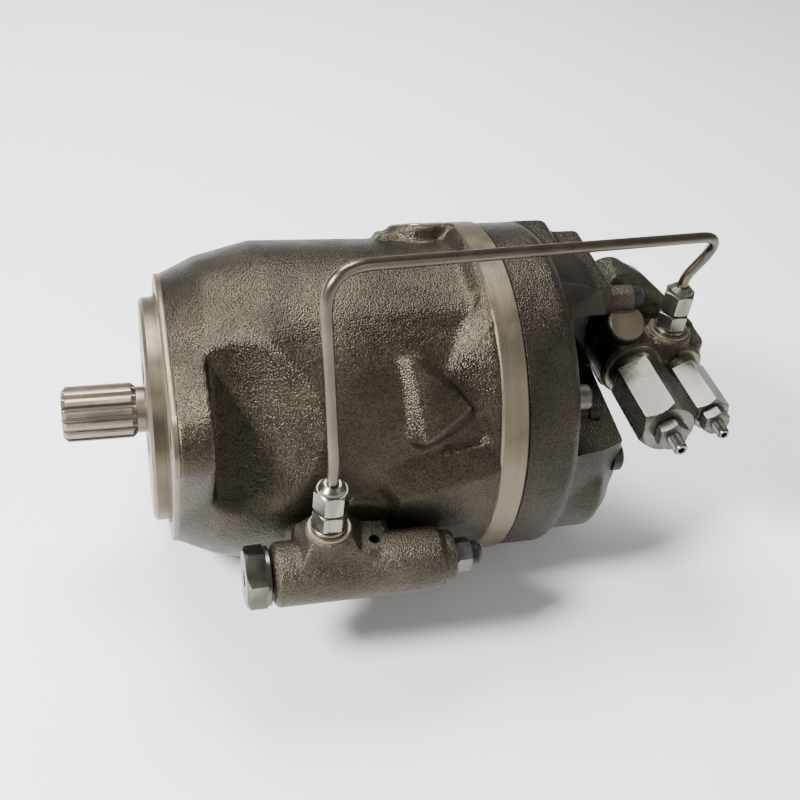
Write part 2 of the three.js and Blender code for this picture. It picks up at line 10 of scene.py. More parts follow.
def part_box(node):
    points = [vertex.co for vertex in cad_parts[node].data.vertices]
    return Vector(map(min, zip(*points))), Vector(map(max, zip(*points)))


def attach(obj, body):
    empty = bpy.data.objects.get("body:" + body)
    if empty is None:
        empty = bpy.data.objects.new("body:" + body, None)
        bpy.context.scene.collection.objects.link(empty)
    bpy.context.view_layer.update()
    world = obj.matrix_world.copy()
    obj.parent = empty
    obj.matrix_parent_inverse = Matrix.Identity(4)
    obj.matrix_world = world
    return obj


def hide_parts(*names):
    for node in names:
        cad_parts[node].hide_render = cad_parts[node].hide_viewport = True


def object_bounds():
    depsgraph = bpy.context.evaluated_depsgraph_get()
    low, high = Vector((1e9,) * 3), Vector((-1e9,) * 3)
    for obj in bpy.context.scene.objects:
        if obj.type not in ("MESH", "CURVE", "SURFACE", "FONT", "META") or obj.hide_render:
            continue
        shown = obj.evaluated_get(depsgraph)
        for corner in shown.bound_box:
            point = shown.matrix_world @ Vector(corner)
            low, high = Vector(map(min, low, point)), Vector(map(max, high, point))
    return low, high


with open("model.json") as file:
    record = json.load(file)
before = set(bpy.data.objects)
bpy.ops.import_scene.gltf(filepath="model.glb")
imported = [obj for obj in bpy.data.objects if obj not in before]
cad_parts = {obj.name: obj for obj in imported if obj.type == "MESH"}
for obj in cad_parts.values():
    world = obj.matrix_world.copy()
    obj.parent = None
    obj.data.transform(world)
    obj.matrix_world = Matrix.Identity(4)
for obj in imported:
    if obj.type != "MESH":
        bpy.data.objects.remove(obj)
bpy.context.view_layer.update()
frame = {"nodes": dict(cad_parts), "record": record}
MM = 0.001

# Sizes in millimetres, as in the CAD model
FLANGE_THICK = 20
HUB_RADIUS = 75
EAR_RADIUS = 20
BOLT_AT = 90
BOLT_HOLE = 9
PILOT_RADIUS = 62.5
PILOT_LENGTH = 9
NOSE_LIP = 27         # radii of the shaft's opening: at the lip, round the front bearing, behind it
NOSE_SEAT = 36
NOSE_WALL = 28
CAVITY_RADIUS = 62
RING_START = 168
RING_END = 183
RING_RADIUS = 97
RING_INNER = 86
PLATE_START = 183.6
PLATE_END = 249.6
PLATE_RADIUS = 95.9
RIM_INNER = 84
PORT_DEPTH = 32
PIVOT = 84            # X of the swash plate's axis
CONTROL_HEIGHT = 68   # how far above and below the shaft the control pistons run
CLOCK = -30
DRAIN_X = 150
DRAIN_BOSS = 17
SPLINE_TEETH = 14
STUD_DEPTH = 7        # how far a stud fitting reaches into its casting
TUBE_RADIUS = 3
CRISP = 28            # degrees above which an edge of a turned piece stays sharp
TUBE_CORNERS = ((65, -100, 158), (309, -17, 110))


# ---------------------------------------------------------------- mesh helpers
def new_object(name, mesh):
    obj = bpy.data.objects.new(name, mesh)
    bpy.context.scene.collection.objects.link(obj)
    return obj


def from_bmesh(name, bm):
    bmesh.ops.recalc_face_normals(bm, faces=bm.faces)
    mesh = bpy.data.meshes.new(name)
    bm.to_mesh(mesh)
    bm.free()
    return new_object(name, mesh)


def axis_matrix(axis, at):
    """Takes local +X to the named axis, then moves the origin to at (mm)."""
    turns = {
        "x": Matrix.Identity(4),
        "y": Matrix.Rotation(math.radians(90), 4, "Z"),
        "z": Matrix.Rotation(math.radians(-90), 4, "Y"),
    }
    return Matrix.Translation(Vector(at) * MM) @ turns[axis]


def lathe(name, points, axis="x", at=(0, 0, 0), sides=96):
    """Turns (distance along the axis, radius) points, in mm, into a closed solid."""
    bm = bmesh.new()
    rings = []
    for along, radius in points:
        if radius == 0:
            rings.append([bm.verts.new((along * MM, 0, 0))])
            continue
        ring = []
        for i in range(sides):
            angle = 2 * math.pi * i / sides
            ring.append(bm.verts.new((
                along * MM, radius * MM * math.sin(angle), radius * MM * math.cos(angle),
            )))
        rings.append(ring)
    for first, second in zip(rings, rings[1:]):
        for i in range(sides):
            j = (i + 1) % sides
            corners = [
                first[i % len(first)], first[j % len(first)],
                second[j % len(second)], second[i % len(second)],
            ]
            bm.faces.new(list(dict.fromkeys(corners)))
    bm.transform(axis_matrix(axis, at))
    return from_bmesh(name, bm)


def rod(name, axis, start, end, radius, at=(0, 0, 0), chamfer=0.6, sides=64):
    """A round bar with chamfered ends; at gives the point of its axis that start and end count from."""
    points = [(start, 0), (start, radius - chamfer), (start + chamfer, radius)]
    points += [(end - chamfer, radius), (end, radius - chamfer), (end, 0)]
    return lathe(name, points, axis, at, sides)


def prism(name, outline, start, end, chamfer=0.0):
    """Pulls a YZ outline (mm) along X, with its edges drawn in at both ends."""
    bm = bmesh.new()
    centre_y = sum(p[0] for p in outline) / len(outline)
    centre_z = sum(p[1] for p in outline) / len(outline)
    reach = max(math.hypot(p[0] - centre_y, p[1] - centre_z) for p in outline)
    shrink = 1 - chamfer / reach
    stations = [(start, shrink), (start + chamfer, 1), (end - chamfer, 1), (end, shrink)]
    if chamfer == 0:
        stations = [(start, 1), (end, 1)]
    loops = []
    for x, scale in stations:
        loop = []
        for y, z in outline:
            spot = (
                x * MM,
                (centre_y + (y - centre_y) * scale) * MM,
                (centre_z + (z - centre_z) * scale) * MM,
            )
            loop.append(bm.verts.new(spot))
        loops.append(loop)
    for first, second in zip(loops, loops[1:]):
        for i in range(len(outline)):
            j = (i + 1) % len(outline)
            bm.faces.new([first[i], first[j], second[j], second[i]])
    bm.faces.new(loops[0])
    bm.faces.new(loops[-1])
    return from_bmesh(name, bm)


def slab(name, low, high, taper=(1, 1), axis="y", bevel=0.0):
    """A block from low to high (mm) whose low end along axis is scaled by taper."""
    bm = bmesh.new()
    bmesh.ops.create_cube(bm, size=1)
    size = [b - a for a, b in zip(low, high)]
    middle = [(a + b) / 2 for a, b in zip(low, high)]
    along = "xyz".index(axis)
    others = [i for i in range(3) if i != along]
    for vert in bm.verts:
        if vert.co[along] < 0:
            vert.co[others[0]] *= taper[0]
            vert.co[others[1]] *= taper[1]
        vert.co = Vector([(middle[i] + vert.co[i] * size[i]) * MM for i in range(3)])
    if bevel:
        bmesh.ops.bevel(bm, geom=bm.edges[:], offset=bevel * MM, segments=3, profile=0.5, affect="EDGES")
    return from_bmesh(name, bm)


def hexagon(name, axis, start, end, across_flats, at, chamfer=1.0, ends=(True, True)):
    """A hexagonal bar with the turned 30 degree chamfer that nuts and plugs have."""
    corner = across_flats / math.sqrt(3)
    bar = lathe(name, [(start, 0), (start, corner), (end, corner), (end, 0)], axis, at, 6)
    edge = across_flats / 2 - 0.2
    low = edge if ends[0] else corner + 1
    high = edge if ends[1] else corner + 1
    profile = [(start, 0), (start, low), (start + chamfer, corner + 0.05 if ends[0] else corner + 1)]
    profile += [(end - chamfer, corner + 0.05 if ends[1] else corner + 1), (end, high), (end, 0)]
    turned = lathe(name + "_turned", profile, axis, at, 72)
    return combine(bar, [turned], "INTERSECT")


def thread(name, axis, start, end, radius, at, pitch=1.25, depth=0.55):
    """A threaded stud end: a close row of V grooves behind a chamfered tip."""
    points = [(start, 0), (start, radius - depth - 0.3), (start + 0.8, radius - depth)]
    count = int((end - start - 1.6) / pitch)
    for i in range(count):
        base = start + 0.8 + i * pitch
        points += [(base + pitch * 0.5, radius), (base + pitch, radius - depth)]
    points += [(end, radius - depth), (end, 0)]
    return lathe(name, points, axis, at, 40)


def bake(obj):
    """Puts the result of the object's modifiers into its mesh."""
    graph = bpy.context.evaluated_depsgraph_get()
    mesh = bpy.data.meshes.new_from_object(obj.evaluated_get(graph))
    obj.modifiers.clear()
    old = obj.data
    obj.data = mesh
    bpy.data.meshes.remove(old)
    return obj


def combine(obj, others, operation):
    for other in others:
        modifier = obj.modifiers.new("cut", "BOOLEAN")
        modifier.operation = operation
        modifier.solver = "MANIFOLD"
        modifier.object = other
    bake(obj)
    for other in others:
        bpy.data.objects.remove(other)
    return obj


def merged(name, parts):
    """Joins several objects' meshes, as loose shells, into the first."""
    bm = bmesh.new()
    for part in parts:
        bm.from_mesh(part.data)
        bpy.data.objects.remove(part)
    mesh = bpy.data.meshes.new(name)
    bm.to_mesh(mesh)
    bm.free()
    return new_object(name, mesh)


def casting(name, forms, voxel=1.6, rounds=10, cuts=()):
    """Melts several forms into one filleted skin, as a sand casting has, then cuts it."""
    obj = merged(name, forms)
    remesh = obj.modifiers.new("skin", "REMESH")
    remesh.mode = "VOXEL"
    remesh.voxel_size = voxel * MM
    smooth = obj.modifiers.new("fillet", "SMOOTH")
    smooth.factor = 0.6
    smooth.iterations = rounds
    bake(obj)
    if cuts:
        combine(obj, list(cuts), "DIFFERENCE")
    return obj


def finish_piece(obj, material_name, body, nodes=(), angle=35):
    obj.data.materials.clear()
    obj.data.materials.append(MATERIALS[material_name])
    for polygon in obj.data.polygons:
        polygon.use_smooth = True
    obj.data.set_sharp_from_angle(angle=math.radians(angle))
    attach(obj, body)
    if nodes:
        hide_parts(*nodes)
    return obj


# ---------------------------------------------------------------- materials
class Nodes:
    """Short calls for building a material's node tree."""

    def __init__(self, name):
        self.material = bpy.data.materials.new(name)
        self.material.use_nodes = True
        self.tree = self.material.node_tree
        self.shader = self.tree.nodes["Principled BSDF"]
        self.coords = self.tree.nodes.new("ShaderNodeTexCoord").outputs["Object"]

    def noise(self, scale, detail=4, roughness=0.55, stretch=(1, 1, 1)):
        mapping = self.tree.nodes.new("ShaderNodeMapping")
        mapping.inputs["Scale"].default_value = stretch
        self.tree.links.new(self.coords, mapping.inputs["Vector"])
        node = self.tree.nodes.new("ShaderNodeTexNoise")
        node.inputs["Scale"].default_value = scale
        node.inputs["Detail"].default_value = detail
        node.inputs["Roughness"].default_value = roughness
        self.tree.links.new(mapping.outputs["Vector"], node.inputs["Vector"])
        return node.outputs["Fac"]

    def cells(self, scale):
        node = self.tree.nodes.new("ShaderNodeTexVoronoi")
        node.inputs["Scale"].default_value = scale
        self.tree.links.new(self.coords, node.inputs["Vector"])
        return node.outputs["Distance"]

    def ramp(self, source, stops):
        node = self.tree.nodes.new("ShaderNodeValToRGB")
        elements = node.color_ramp.elements
        while len(elements) < len(stops):
            elements.new(0.5)
        for element, (position, color) in zip(elements, stops):
            element.position = position
            element.color = (*color, 1)
        self.tree.links.new(source, node.inputs["Fac"])
        return node.outputs["Color"]

    def span(self, source, low, high):
        node = self.tree.nodes.new("ShaderNodeMapRange")
        node.inputs["From Min"].default_value = 0.3
        node.inputs["From Max"].default_value = 0.7
        node.inputs["To Min"].default_value = low
        node.inputs["To Max"].default_value = high
        self.tree.links.new(source, node.inputs["Value"])
        return node.outputs["Result"]

    def edges(self):
        """Bright on outward edges and dark in hollows."""
        return self.tree.nodes.new("ShaderNodeNewGeometry").outputs["Pointiness"]

    def mix(self, factor, first, second, mode="MIX"):
        node = self.tree.nodes.new("ShaderNodeMix")
        node.data_type = "RGBA"
        node.blend_type = mode
        for socket, value in ((0, factor), (6, first), (7, second)):
            if isinstance(value, (int, float)):
                node.inputs[socket].default_value = value
            elif isinstance(value, tuple):
                node.inputs[socket].default_value = (*value, 1)
            else:
                self.tree.links.new(value, node.inputs[socket])
        return node.outputs[2]

    def bump(self, height, distance, strength=1.0, below=None):
        node = self.tree.nodes.new("ShaderNodeBump")
        node.inputs["Strength"].default_value = strength
        node.inputs["Distance"].default_value = distance
        self.tree.links.new(height, node.inputs["Height"])
        if below is not None:
            self.tree.links.new(below, node.inputs["Normal"])
        return node.outputs["Normal"]

    def connect(self, **sockets):
        for label, value in sockets.items():
            name = label.replace("_", " ").title()
            if isinstance(value, (int, float)):
                self.shader.inputs[name].default_value = value
            else:
                self.tree.links.new(value, self.shader.inputs[name])
        return self.material


def cast_iron(name, dark, middle, light, grain=1000.0, depth=0.00028, painted_edge_highlights=True):
    """Sand-cast iron under a thin dark coat: pebbled skin, brown stains, and a painted highlight that
    lightens outward edges.
    """
    n = Nodes(name)
    base = n.ramp(n.noise(22, 5), [(0.3, dark), (0.5, middle), (0.72, light)])
    pebbles = n.cells(grain)
    speckle = n.ramp(pebbles, [(0.1, (1, 1, 1)), (0.75, (0.35, 0.33, 0.3))])
    color = n.mix(0.8, base, speckle, "MULTIPLY")
    if painted_edge_highlights:
        # Painted highlight: outward edges are lightened towards a brighter tone of the iron
        painted_edge_highlight = n.ramp(n.edges(), [(0.515, (0, 0, 0)), (0.62, (1, 1, 1))])
        color = n.mix(painted_edge_highlight, color, tuple(min(1, c * 1.5) for c in light))
    sand = n.bump(pebbles, -depth, 1.0)
    lumps = n.bump(n.noise(grain / 4, 4), depth * 2.2, 0.6, sand)
    rough = n.span(n.noise(70, 4), 0.3, 0.46)
    return n.connect(base_color=color, roughness=rough, normal=lumps, metallic=0.8)


def machined(name, color, stretch, grooves=1400.0, rough=(0.25, 0.42), metallic=0.95, depth=0.00006):
    n = Nodes(name)
    dark = tuple(c * 0.62 for c in color)
    tint = n.ramp(n.noise(40, 4), [(0.3, dark), (0.7, color)])
    # Painted highlight: outward edges are lightened towards a brighter tone of the metal
    painted_edge_highlight = n.ramp(n.edges(), [(0.52, (0, 0, 0)), (0.62, (1, 1, 1))])
    tint = n.mix(painted_edge_highlight, tint, tuple(min(1, c * 1.5) for c in color))
    lines = n.noise(grooves, 2, 0.5, stretch)
    tint = n.mix(n.span(lines, 0.0, 0.35), tint, dark)
    marks = n.bump(lines, depth, 0.8)
    roughness = n.span(n.noise(90, 5), *rough)
    return n.connect(base_color=tint, roughness=roughness, normal=marks, metallic=metallic)


def rubber_like(name, color, rough=(0.35, 0.55), scale=700.0):
    n = Nodes(name)
    light = tuple(c * 1.6 + 0.003 for c in color)
    n.shader.inputs["Specular IOR Level"].default_value = 0.25
    tint = n.ramp(n.noise(70, 4), [(0.3, color), (0.8, light)])
    grain = n.bump(n.noise(scale, 3), 0.00008, 0.5)
    return n.connect(base_color=tint, roughness=n.span(n.noise(50, 3), *rough), normal=grain, metallic=0.0)


def make_materials():
    along_x = (0.02, 1, 1)
    rings = (1, 0.02, 0.02)
    # The dark, middle and light colour of each casting
    case_iron = ((0.026, 0.021, 0.014), (0.054, 0.045, 0.030), (0.092, 0.078, 0.053))
    plate_iron = ((0.022, 0.019, 0.014), (0.044, 0.037, 0.027), (0.072, 0.062, 0.046))
    valve_iron = ((0.032, 0.027, 0.019), (0.068, 0.058, 0.042), (0.115, 0.1, 0.075))
    return {
        "case": cast_iron("case_cast_iron", *case_iron),
        "plate": cast_iron("plate_cast_iron", *plate_iron),
        "valve": cast_iron("valve_cast_iron", *valve_iron, grain=1200.0, depth=0.0004),
        # The rim's iron has no painted edge highlight
        "rim": cast_iron("plate_rim_iron", *plate_iron, painted_edge_highlights=False),
        "face": machined("machined_iron", (0.15, 0.127, 0.09), rings, 900.0, (0.3, 0.5), 0.85),
        "zinc": machined("zinc_plate", (0.17, 0.16, 0.138), rings, 1600.0, (0.18, 0.34)),
        "cap": machined("cap_steel", (0.105, 0.099, 0.084), rings, 1300.0, (0.2, 0.36)),
        "spline": machined("spline_steel", (0.24, 0.205, 0.165), along_x, 1200.0, (0.3, 0.48)),
        "tube": machined("tube_steel", (0.13, 0.108, 0.085), (1, 1, 1), 500.0, (0.24, 0.38)),
        "dark": machined("blackened_steel", (0.10, 0.095, 0.09), rings, 1500.0, (0.3, 0.5)),
        "steel": machined("ground_steel", (0.5, 0.49, 0.47), rings, 1800.0, (0.16, 0.3)),
        "bronze": machined("turned_bronze", (0.5, 0.31, 0.12), rings, 1500.0, (0.24, 0.4)),
        "black": rubber_like("black_plastic", (0.005, 0.005, 0.005), (0.3, 0.45)),
        "rubber": rubber_like("seal_rubber", (0.01, 0.01, 0.01), (0.55, 0.75)),
    }


MATERIALS = make_materials()


# ---------------------------------------------------------------- housing
def flange_outline(steps=14):
    lean = math.acos((HUB_RADIUS - EAR_RADIUS) / BOLT_AT)
    arcs = [
        (BOLT_AT, EAR_RADIUS, -lean, lean),
        (0, HUB_RADIUS, lean, math.pi - lean),
        (-BOLT_AT, EAR_RADIUS, math.pi - lean, math.pi + lean),
        (0, HUB_RADIUS, math.pi + lean, 2 * math.pi - lean),
    ]
    outline = []
    for centre, radius, start, end in arcs:
        for i in range(steps + 1):
            angle = start + (end - start) * i / steps
            outline.append((centre + radius * math.cos(angle), radius * math.sin(angle)))
    return outline


def clocked(obj):
    """Turns a shape about the shaft to the flange's own clock position."""
    obj.data.transform(Matrix.Rotation(math.radians(CLOCK), 4, "X"))
    return obj


def wedge(name, corners):
    """The faceted solid that spans the given points (mm)."""
    bm = bmesh.new()
    for corner in corners:
        bm.verts.new(Vector(corner) * MM)
    bmesh.ops.convex_hull(bm, input=bm.verts)
    return from_bmesh(name, bm)


def flank(name, corners):
    """A wedge from (x, degrees, radius) points, with the degrees counted from -Y towards +Z."""
    spots = []
    for x, degrees, radius in corners:
        angle = math.radians(degrees)
        spots.append((x, -radius * math.cos(angle), radius * math.sin(angle)))
    return wedge(name, spots)


def case_barrel():
    """The case's round body, scooped out behind each flange ear to make room for the bolt heads."""
    profile = [(0.8, 0), (0.8, 73.8), (22, 83.8), (53, 91.2), (104, 90), (146, 88.6)]
    profile += [(160, 89), (167, 95.6), (176, 95.6), (176, 0)]
    barrel = lathe("barrel", profile)
    floor = ((18, 72.5), (34, 74), (46, 77.5), (60, 83.5), (78, 91), (78, 140), (18, 140))
    scoops = []
    for side in (-1, 1):
        corners = [(x, side * radius, z) for x, radius in floor for z in (-60, 60)]
        scoops.append(clocked(wedge("scoop", corners)))
    return combine(barrel, scoops, "DIFFERENCE")


def case_forms():
    """The solid shapes that the housing's casting is melted from."""
    forms = [clocked(prism("flange", flange_outline(), 2, FLANGE_THICK)), case_barrel()]
    forms.append(flank("flank_bump", [
        (121, 51, 93.5), (127, 24, 99), (152, 34, 96.5), (113, 50, 87),
        (114, 24, 87), (128, 18, 86), (158, 28, 86), (136, 52, 86),
    ]))
    forms.append(flank("low_bulge", [
        (104, 13, 90.2), (168, 23, 93), (168, 12, 98), (116, 4, 97.5),
        (168, -10, 98), (112, -12, 96.5), (112, -30, 95), (168, -36, 97), (140, -12, 60),
    ]))
    for side in (0, 180):
        forms.append(flank("ring_flare", [
            (142, side + 47, 89.5), (168, side + 73, 95.6), (168, side + 60, 97), (168, side + 47, 97.5),
            (168, side + 34, 97), (168, side + 22, 95.6), (171, side + 73, 84), (171, side + 22, 84),
        ]))
    forms.append(rod("under_bulge", "x", 70, 170, 26, (0, -26, -62), 14))
    forms.append(rod("far_bulge", "x", 96, 172, 28, (0, 62, -24), 12))
    forms.append(rod("crown", "x", 56, 170, 30, (0, -22, 56), 10))
    forms.append(slab("valve_pad", (58, -93.6, -49), (117, -60, -8), bevel=2))
    forms.append(rod("pad_round", "y", -93.6, -60, 23, (94, 0, -16), 1))
    forms.append(clocked(rod("drain_boss", "z", 80, 96.6, DRAIN_BOSS, (DRAIN_X, 0, 0), 1.5, 48)))
    forms.append(clocked(slab("drain_arm", (DRAIN_X, -15, 80), (172, 15, 96.8), bevel=3)))
    forms.append(clocked(slab("drain_step", (DRAIN_X - 24, -11, 80), (DRAIN_X, 11, 93.4), (1, 0.9), bevel=2)))
    return forms


def at_bolts(name, start, end, radius):
    """A round bar at the place of each mounting bolt."""
    return [clocked(rod(name, "x", start, end, radius, (0, side * BOLT_AT, 0), 0)) for side in (-1, 1)]


def case_cuts():
    cuts = at_bolts("bolt_hole", -2, 24, BOLT_HOLE)
    cuts += at_bolts("spot_face", FLANGE_THICK - 0.4, 30, 16)
    cuts.append(lathe("nose_bore", [
        (-12, 0), (-12, NOSE_LIP), (9, NOSE_LIP), (9, NOSE_SEAT),
        (33, NOSE_SEAT), (33, NOSE_WALL), (38, NOSE_WALL), (38, 0),
    ]))
    cuts.append(rod("cavity", "x", 37, 190, CAVITY_RADIUS, (0, 0, 0), 0))
    cuts += [rod("lobe", "x", 40, 190, 16, (0, 0, side * 66), 0) for side in (-1, 1)]
    cuts.append(clocked(rod("drain_hole", "z", 56, 100, 9.1, (DRAIN_X, 0, 0), 0)))
    return cuts


def build_saddles():
    """The hollowed blocks inside the case that the cradle bearings sit in."""
    for label, side in (("near", -1), ("far", 1)):
        low, high = sorted((side * 33, side * 48))
        block = slab(f"cradle_saddle_{label}", (36.5, low, -26), (55, high, 26), bevel=0.8)
        combine(block, [rod("groove", "y", -52, 52, 43.3, (PIVOT, 0, 0), 0)], "DIFFERENCE")
        finish_piece(block, "face", "case", ["housing"])


def build_case():
    body = casting("housing_casting", case_forms(), 1.5, 6, case_cuts())
    finish_piece(body, "case", "case", ["housing"])
    pilot = [
        (-PILOT_LENGTH, NOSE_LIP), (-PILOT_LENGTH, PILOT_RADIUS - 2),
        (-7.2, PILOT_RADIUS), (-1.2, PILOT_RADIUS),
        (-1.2, PILOT_RADIUS + 2), (1, PILOT_RADIUS + 2), (3, 60), (3, NOSE_LIP), (-PILOT_LENGTH, NOSE_LIP),
    ]
    face = clocked(prism("flange_face", flange_outline(24), 0, 3.4, 0.6))
    holes = at_bolts("hole", -2, 24, BOLT_HOLE)
    holes.append(rod("hole", "x", -2, 24, NOSE_WALL, (0, 0, 0), 0))
    combine(face, holes, "DIFFERENCE")
    finish_piece(face, "face", "case", ["housing"])
    finish_piece(lathe("pilot_spigot", pilot, sides=160), "face", "case", ["housing"])
    band = [(RING_START, RING_INNER), (RING_START, RING_RADIUS - 1.2), (RING_START + 1.2, RING_RADIUS)]
    band += [(RING_END - 0.8, RING_RADIUS), (RING_END, RING_RADIUS - 0.8)]
    band += [(RING_END, RING_INNER), (RING_START, RING_INNER)]
    finish_piece(lathe("joint_band", band, sides=160), "face", "case", ["housing"])
    build_saddles()


# ---------------------------------------------------------------- port plate
# Each cover screw: angle from +Y towards +Z, X of its seat and radius of its head
COVER_SCREWS = ((45, 209, 10.5), (147, 214, 7), (245, 209, 10.5), (345, 209, 10.5))
SCREW_CIRCLE = 80
# Each port: its Y, the radius of its face and of its bore
PORTS = (("suction", 32, 33, 25), ("pressure", -40, 23, 14))
PORT_Z = -34


def screw_spot(degrees):
    angle = math.radians(degrees)
    return (0, SCREW_CIRCLE * math.cos(angle), SCREW_CIRCLE * math.sin(angle))


def plate_forms():
    profile = [
        (PLATE_START, 0), (PLATE_START, PLATE_RADIUS), (209, PLATE_RADIUS), (213, 93), (215, 87), (234, 82),
    ]
    profile += [(PLATE_END - 1.5, 75), (PLATE_END - 1.5, 0)]
    forms = [lathe("plate", profile)]
    forms.append(slab("upper_block", (206, -17, 58), (PLATE_END - 0.2, 44, 79), bevel=1.5))
    forms.append(slab("upper_step", (206, -8, 40), (230, 50, 84), bevel=3))
    forms.append(rod("near_bulge", "x", 206, PLATE_END - 4, 42, (0, -44, -22), 9))
    forms.append(rod("control_bulge", "x", 200, PLATE_END - 2, 25, (0, 0, -66), 7))
    for label, y, outer, _ in PORTS:
        forms.append(rod(label + "_boss", "x", 226, PLATE_END - 0.2, outer + 1.5, (0, y, PORT_Z), 1.5))
    return forms


def plate_cuts():
    over = PLATE_END + 8
    cuts = [
        rod(label, "x", PLATE_END - PORT_DEPTH, over, inner, (0, y, PORT_Z), 0)
        for label, y, _, inner in PORTS
    ]
    cuts.append(rod("bearing_bore", "x", 180, 208.6, 26.3, (0, 0, 0), 0))
    cuts.append(rod("stroker_bore", "x", 180, 238, 13.6, (0, 0, -CONTROL_HEIGHT), 0))
    cuts.append(rod("spring_bore", "x", 180, 214, 14, (0, 0, CONTROL_HEIGHT), 0))
    cuts.append(wedge("near_recess", [
        (x, y, z) for x, shift in ((215, 0), (over, 6))
        for y, z in ((-110, 14 - shift), (-17, 26 - shift), (-17, 110), (-110, 110))
    ]))
    cuts.append(slab("under_block", (214.5, -60, 24), (over, 20, 60)))
    for degrees, seat, radius in COVER_SCREWS:
        cuts.append(rod("counterbore", "x", seat, over, radius + 1, screw_spot(degrees), 0))
    return cuts


def hex_socket(axis, start, end, corner, at):
    """The cutter for the hexagonal hole in a screw's end."""
    return lathe("socket", [(start, 0), (start, corner), (end, corner), (end, 0)], axis, at, 6)


def socket_screw(name, at, axis="x", radius=10.5, height=14, start=0.0):
    head = rod(name, axis, start, start + height, radius, at, 1.2)
    socket = hex_socket(axis, start + height / 2, start + height + 1, radius * 0.62, at)
    return combine(head, [socket], "DIFFERENCE")


def build_plate():
    body = casting("port_plate_casting", plate_forms(), 1.5, 7, plate_cuts())
    finish_piece(body, "plate", "case", ["port_plate"])
    rim = [
        (PLATE_START, RIM_INNER), (PLATE_START, PLATE_RADIUS - 0.5), (PLATE_START + 0.5, PLATE_RADIUS),
        (PLATE_START + 3, PLATE_RADIUS), (PLATE_START + 4, 94), (PLATE_START + 4, RIM_INNER),
        (PLATE_START, RIM_INNER),
    ]
    finish_piece(lathe("plate_rim", rim, sides=160), "rim", "case", ["port_plate"])
    top = PLATE_END + 0.4
    for label, y, outer, inner in PORTS:
        ring = [
            (top - 2.4, inner), (top - 0.6, inner), (top, inner + 0.8), (top, outer - 0.8),
            (top - 0.8, outer), (top - 2.4, outer), (top - 2.4, inner),
        ]
        face = lathe(label + "_port_face", ring, "x", (0, y, PORT_Z))
        finish_piece(face, "face", "case", ["port_plate"])
    for i, (degrees, seat, radius) in enumerate(COVER_SCREWS):
        head = socket_screw(f"cover_screw_{i + 1}", screw_spot(degrees), "x", radius, radius * 1.3, seat)
        finish_piece(head, "dark", "case")
    for i, (x, y, z, size) in enumerate(((243, -70, 0, 8.6), (232, -52, 18, 6.6))):
        profile = [(x - 10, 0), (x - 10, size - 1.5), (x + 1, size - 1.5), (x + 1, size), (x + 6, size)]
        profile += [(x + 7, size - 1), (x + 7, size / 2), (x + 5, size / 2 - 0.4), (x + 5, 0)]
        cap = lathe(f"plate_plug_{i + 1}", profile, "x", (0, y, z), 64)
        finish_piece(cap, "black", "case")


build_case()
build_plate()


# ---------------------------------------------------------------- control valve
def centre_of(node):
    low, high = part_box(node)
    return [(a + b) / 2 / MM for a, b in zip(low, high)]


def span_of(node, axis):
    low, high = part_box(node)
    index = "xyz".index(axis)
    return low[index] / MM, high[index] / MM


FLOW = centre_of("flow_spring_cap")
PRESSURE = centre_of("pressure_spring_cap")
UPPER = centre_of("upper_stud_fitting")
LOWER = centre_of("lower_stud_fitting")
POWER = centre_of("power_valve_spool")
LOWER_SEAT = span_of("lower_stud_fitting", "z")[0] + STUD_DEPTH
UPPER_SEAT = span_of("upper_stud_fitting", "z")[0] + STUD_DEPTH
VALVE_NEAR = span_of("flow_spring_cap", "y")[1] + 0.3
# The round boss on the control valve: the centre of its flat face and the way that the face looks
ROUND_BOSS = ((262, -20, 56), (0, -0.6, 0.8))


def aimed(name, at, direction, length, radius, chamfer=1.0):
    """A round bar that ends at a point (mm), with its end face looking along direction."""
    bar = rod(name, "x", -length, 0, radius, (0, 0, 0), chamfer, 48)
    turn = Vector((1, 0, 0)).rotation_difference(Vector(direction)).to_matrix().to_4x4()
    bar.data.transform(Matrix.Translation(Vector(at) * MM) @ turn)
    return bar


def control_valve_forms():
    near = VALVE_NEAR
    end = span_of("control_valve_body", "x")[1]
    seat = UPPER_SEAT
    forms = [rod("flow_barrel", "y", near + 0.5, 4, 19.5, (FLOW[0], 0, FLOW[2]), 2)]
    forms.append(rod("pressure_barrel", "y", near + 0.5, 4, 14.5, (PRESSURE[0], 0, PRESSURE[2]), 2))
    forms.append(slab("near_block", (254, near + 5, 9), (end - 0.6, 3, 41), bevel=4))
    forms.append(wedge("lobe", [
        (250, 2, 58), (250, 31, 60), (262, 8, 69), (266, 27, 70), (284, 15, 64), (285, 29, 60),
        (end - 3, -9, 43), (end - 1, -2, 36), (end - 4, 4, 12), (250, 32, 10), (286, 31, 10), (250, 0, 9),
    ]))
    forms.append(rod("lobe_round", "y", 9, 30, 13, (266, 0, 56), 2))
    forms.append(aimed("round_boss", ROUND_BOSS[0], ROUND_BOSS[1], 26, 11.6, 1))
    forms.append(rod("plug_barrel", "x", 249, 267, 8, (0, -8, 64), 0.8, 48))
    forms.append(slab("plug_web", (252, -10, 40), (264, 6, 64), bevel=2))
    forms.append(rod("fitting_boss", "z", 30, seat - 0.6, 13.5, (UPPER[0], UPPER[1], 0), 1.5))
    return forms


